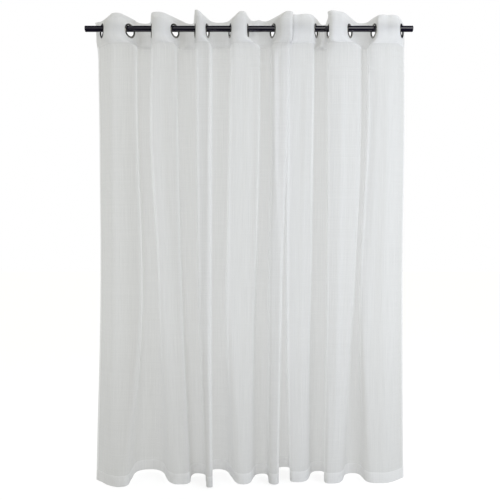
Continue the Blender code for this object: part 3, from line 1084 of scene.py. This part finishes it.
def voile_material(context):
    """Sheer voile: matt yarn that glows with the light behind it, with clear gaps between the threads."""
    if "voile" in _kept:
        return _kept["voile"]
    settings = context.scene.curtain_cloth
    made, tree, yarn = new_material("voile")
    cloth_map = node(tree, "ShaderNodeUVMap", uv_map="cloth").outputs["UV"]
    weave = node(tree, "ShaderNodeGroup", {"Cloth": cloth_map}, node_tree=weave_group()).outputs
    colour = mixed(tree, weave["Shade"], (*settings.colour, 1.0), (*settings.shade, 1.0))
    relief = {"Strength": 0.15, "Distance": 0.0003, "Height": weave["Height"]}
    finish = {
        "Base Color": colour,
        "Roughness": 0.85,
        "Specular IOR Level": 0.25,
        "Sheen Weight": 0.10,
        "Normal": node(tree, "ShaderNodeBump", relief).outputs["Normal"],
    }
    fill(tree, yarn, finish)
    glow = node(tree, "ShaderNodeBsdfTranslucent", {"Color": colour})
    halves = {0: settings.glow, 1: yarn.outputs[0], 2: glow.outputs[0]}
    thread = node(tree, "ShaderNodeMixShader", halves)
    unevenness = (settings.cover - COVER_SPREAD, min(settings.cover + COVER_SPREAD, 1.0))
    cover = ranged(tree, weave["Cover"], result=unevenness)
    doubled = node(tree, "ShaderNodeAttribute", attribute_name="doubled").outputs["Fac"]
    denser = maths(tree, "MULTIPLY_ADD", doubled, settings.hem_cover, cover, use_clamp=True)
    gaps = node(tree, "ShaderNodeBsdfTransparent")
    layer = {0: denser, 1: gaps.outputs[0], 2: thread.outputs[0]}
    sheer = node(tree, "ShaderNodeMixShader", layer)
    fill(tree, tree.nodes["Material Output"], {"Surface": sheer.outputs[0]})
    _kept["voile"] = made
    return made


def thread_material():
    """Polyester sewing thread, a little brighter than the voile."""
    made, tree, shader = new_material("sewing_thread")
    place = node(tree, "ShaderNodeTexCoord").outputs["Object"]
    twist = node(tree, "ShaderNodeTexNoise", {"Vector": place, "Scale": 900.0}).outputs["Fac"]
    fill(tree, shader, {"Base Color": mixed(tree, twist, THREAD_COLOUR, THREAD_SHADE), "Roughness": 0.55})
    return made


def wear_group():
    """Fine handling marks on a hard finish: a mask of scuffs and a height, over Object coordinates."""
    if "handling_marks" in bpy.data.node_groups:
        return bpy.data.node_groups["handling_marks"]
    group, given, result = new_group("handling_marks", {"Place": None, "Scale": 60.0}, ("Marks", "Grain"))
    scuffs = {"Vector": given["Place"], "Scale": given["Scale"], "Detail": 5.0, "Roughness": 0.65}
    marks = ranged(group, node(group, "ShaderNodeTexNoise", scuffs).outputs["Fac"], (0.35, 0.70))
    fine = {"Vector": given["Place"], "Scale": 1400.0, "Detail": 1.0}
    grain = node(group, "ShaderNodeTexNoise", fine).outputs["Fac"]
    fill(group, result, {"Marks": marks, "Grain": grain})
    return group


def hard_material(name, colour, worn, metallic, roughness, scale):
    """A plated or painted finish with faint handling marks in its colour and roughness."""
    made, tree, shader = new_material(name)
    place = node(tree, "ShaderNodeTexCoord").outputs["Object"]
    wear = node(tree, "ShaderNodeGroup", {"Scale": scale, "Place": place}, node_tree=wear_group()).outputs
    relief = {"Strength": 0.2, "Distance": 0.00002, "Height": wear["Grain"]}
    finish = {
        "Base Color": mixed(tree, wear["Marks"], (*colour, 1.0), (*worn, 1.0)),
        "Metallic": metallic,
        "Roughness": ranged(tree, wear["Marks"], result=roughness),
        "Normal": node(tree, "ShaderNodeBump", relief).outputs["Normal"],
    }
    fill(tree, shader, finish)
    return made


def nickel_material(context):
    """Polished nickel plate."""
    colour = tuple(context.scene.curtain_rings.colour)
    worn = tuple(0.86 * value for value in colour)
    return hard_material("polished_nickel", colour, worn, 1.0, (0.16, 0.30), 90.0)


def rod_material(context):
    """Satin black paint on a steel tube."""
    colour = tuple(context.scene.curtain_rod.colour)
    worn = tuple(1.6 * value for value in colour)
    made = hard_material("satin_black", colour, worn, 0.0, (0.09, 0.17), 40.0)
    made.node_tree.nodes["Principled BSDF"].inputs["Specular IOR Level"].default_value = 0.6
    return made


class MakeStage(bpy.types.Operator):
    """Make the pale floor, the soft light and the camera"""

    bl_idname = "curtain.stage"
    bl_label = "Stage"

    def execute(self, context):
        settings = context.scene.curtain_stage
        add_floor(settings)
        add_world(settings)
        add_soft_light("front_light", FRONT_LIGHT_PLACE, settings.front_power)
        add_soft_light("rear_light", REAR_LIGHT_PLACE, settings.rear_power)
        add_camera(settings)
        context.scene.view_settings.view_transform = "Standard"
        return {"FINISHED"}


def add_floor(settings):
    """A wide pale floor a little under the hem, with shade painted on it near the cloth, where it is seen
    through the voile.
    """
    floor = bmesh.new()
    bmesh.ops.create_grid(floor, x_segments=2, y_segments=2, size=FLOOR_REACH)
    bmesh.ops.translate(floor, vec=(0.0, 0.0, HEM_Z - settings.floor_gap), verts=floor.verts)
    mesh = bpy.data.meshes.new("floor")
    floor.to_mesh(mesh)
    floor.free()
    made, tree, shader = new_material("pale_floor")
    place = node(tree, "ShaderNodeTexCoord").outputs["Object"]
    away = maths(tree, "ABSOLUTE", node(tree, "ShaderNodeSeparateXYZ", {0: place}).outputs["Y"])
    # Painted shade: seen through the voile, the floor darkens towards the cloth, from a share of the backing at
    # the cloth to all of it further off
    fade = ranged(tree, away, (0.0, FLOOR_SHADE_REACH), (settings.floor_painted_shade, 1.0))
    behind = scaled(tree, settings.backing[:], fade)
    room = (*[FLOOR_GLOW * settings.ambient] * 3, 1.0)
    ray = node(tree, "ShaderNodeLightPath").outputs
    unlit = maths(tree, "MAXIMUM", ray["Transparent Depth"], ray["Is Glossy Ray"])
    finish = {
        "Base Color": ranged(tree, unlit, (0.0, 0.5), (FLOOR_PALE, 0.0)),
        "Roughness": 1.0,
        "Specular IOR Level": 0.0,
        "Emission Color": seen_through(tree, room, FLOOR_GLOSS, FLOOR_WHITE, behind),
        "Emission Strength": 1.0,
    }
    fill(tree, shader, finish)
    mesh.materials.append(made)
    piece = bpy.data.objects.new("floor", mesh)
    bpy.context.scene.collection.objects.link(piece)


def seen_through(tree, room, gloss, open_colour, behind):
    """The studio's colour for each kind of ray.

    room lights the pieces, gloss is what polish reflects, open_colour is seen directly and behind is seen
    through the voile.
    """
    ray = node(tree, "ShaderNodeLightPath").outputs
    through = maths(tree, "GREATER_THAN", ray["Transparent Depth"], 0.5)
    viewed = mixed(tree, through, open_colour, behind)
    shone = mixed(tree, ray["Is Glossy Ray"], room, gloss)
    return mixed(tree, ray["Is Camera Ray"], shone, viewed)


def add_world(settings):
    """Even light from all round, a little warmer on the left, in front of a white wall."""
    world = bpy.data.worlds.new("studio")
    world.use_nodes = True
    tree = world.node_tree
    tree.nodes.clear()
    direction = node(tree, "ShaderNodeTexCoord").outputs["Generated"]
    side = node(tree, "ShaderNodeSeparateXYZ", {0: direction}).outputs
    left, right = [(*[value * settings.ambient for value in tint], 1.0) for tint in (LEFT_TINT, RIGHT_TINT)]
    tinted = mixed(tree, ranged(tree, side["X"], (-1.0, 1.0)), left, right)
    strength = (1.0 - settings.back_light, 1.0 + settings.back_light)
    room = scaled(tree, tinted, ranged(tree, side["Y"], (-1.0, 1.0), strength))
    window = ranged(tree, side["Z"], WINDOW_TOP, (1.0, 0.0), interpolation_type="SMOOTHSTEP")
    foot = ranged(tree, side["Z"], WINDOW_FOOT, interpolation_type="SMOOTHSTEP")
    along = ranged(tree, side["X"], WINDOW_ALONG, (WINDOW_DIMMEST, 1.0))
    facing = ranged(tree, side["Y"], WINDOW_FACING, (1.0, 0.0), interpolation_type="SMOOTHSTEP")
    for limit in (foot, along, facing):
        window = maths(tree, "MULTIPLY", window, limit)
    daylit = (*[settings.window_light * value for value in WINDOW_TINT], 1.0)
    gloss = mixed(tree, window, DARK_ROOM, daylit)
    colour = seen_through(tree, room, gloss, WALL_WHITE, (*settings.backing, 1.0))
    shine = node(tree, "ShaderNodeBackground", {"Color": colour})
    node(tree, "ShaderNodeOutputWorld", {"Surface": shine.outputs[0]})
    bpy.context.scene.world = world


def add_soft_light(name, place, power):
    """A large soft light that the camera and polish don't see."""
    data = bpy.data.lights.new(name, "AREA")
    data.shape = "RECTANGLE"
    data.size, data.size_y = LIGHT_SIZE
    data.energy = power
    data.color = DAYLIGHT
    light = bpy.data.objects.new(name, data)
    light.location = place
    light.rotation_euler = (Vector(LIGHT_AIM) - Vector(place)).to_track_quat("-Z", "Y").to_euler()
    light.visible_camera = False
    light.visible_glossy = False
    bpy.context.scene.collection.objects.link(light)


def add_camera(settings):
    """A level camera in front of the rod, above the curtain's middle."""
    data = bpy.data.cameras.new("camera")
    data.sensor_width = 36.0
    data.lens = settings.lens
    data.shift_y = -0.04
    data.clip_end = 60.0
    camera = bpy.data.objects.new("camera", data)
    camera.location = (settings.camera_x, -settings.camera_distance, HEM_Z + settings.camera_height)
    camera.rotation_euler = (math.pi / 2, 0.0, 0.0)
    bpy.context.scene.collection.objects.link(camera)
    bpy.context.scene.camera = camera


class CurtainPanel(bpy.types.Panel):
    """The curtain's pieces and settings in the sidebar"""

    bl_label = "Curtain"
    bl_idname = "VIEW3D_PT_curtain"
    bl_space_type = "VIEW_3D"
    bl_region_type = "UI"
    bl_category = "Curtain"

    def draw(self, context):
        for name in SETTINGS:
            group = getattr(context.scene, name)
            for key in type(group).__annotations__:
                self.layout.prop(group, key)
        for maker in MAKERS:
            self.layout.operator(maker.bl_idname)


SETTINGS = {
    "curtain_cloth": CurtainCloth,
    "curtain_rings": CurtainRings,
    "curtain_rod": CurtainRod,
    "curtain_stage": CurtainStage,
}
MAKERS = (MakeStage, MakeRod, MakeRings, MakeHeading, MakePanel, MakeStitching)


def register():
    """Add the settings, the operators and the sidebar's panel."""
    for name, group in SETTINGS.items():
        bpy.utils.register_class(group)
        setattr(bpy.types.Scene, name, bpy.props.PointerProperty(type=group))
    for maker in MAKERS:
        bpy.utils.register_class(maker)
    bpy.utils.register_class(CurtainPanel)


def unregister():
    """Take them away again."""
    bpy.utils.unregister_class(CurtainPanel)
    for maker in reversed(MAKERS):
        bpy.utils.unregister_class(maker)
    for name, group in SETTINGS.items():
        delattr(bpy.types.Scene, name)
        bpy.utils.unregister_class(group)


def declare_sheets():
    """Look up each piece of cloth and each row of stitching that was made."""
    _kept["heading"]
    _kept["heading_stitching"]
    _kept["panel"]
    _kept["hem_stitching"]
    _kept["side_stitching"]


def main():
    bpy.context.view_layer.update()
    register()
    bpy.ops.curtain.stage()
    bpy.ops.curtain.rod()
    bpy.ops.curtain.rings()
    bpy.ops.curtain.heading()
    bpy.ops.curtain.panel()
    bpy.ops.curtain.stitching()
    declare_sheets()


if __name__ == "__main__":
    main()
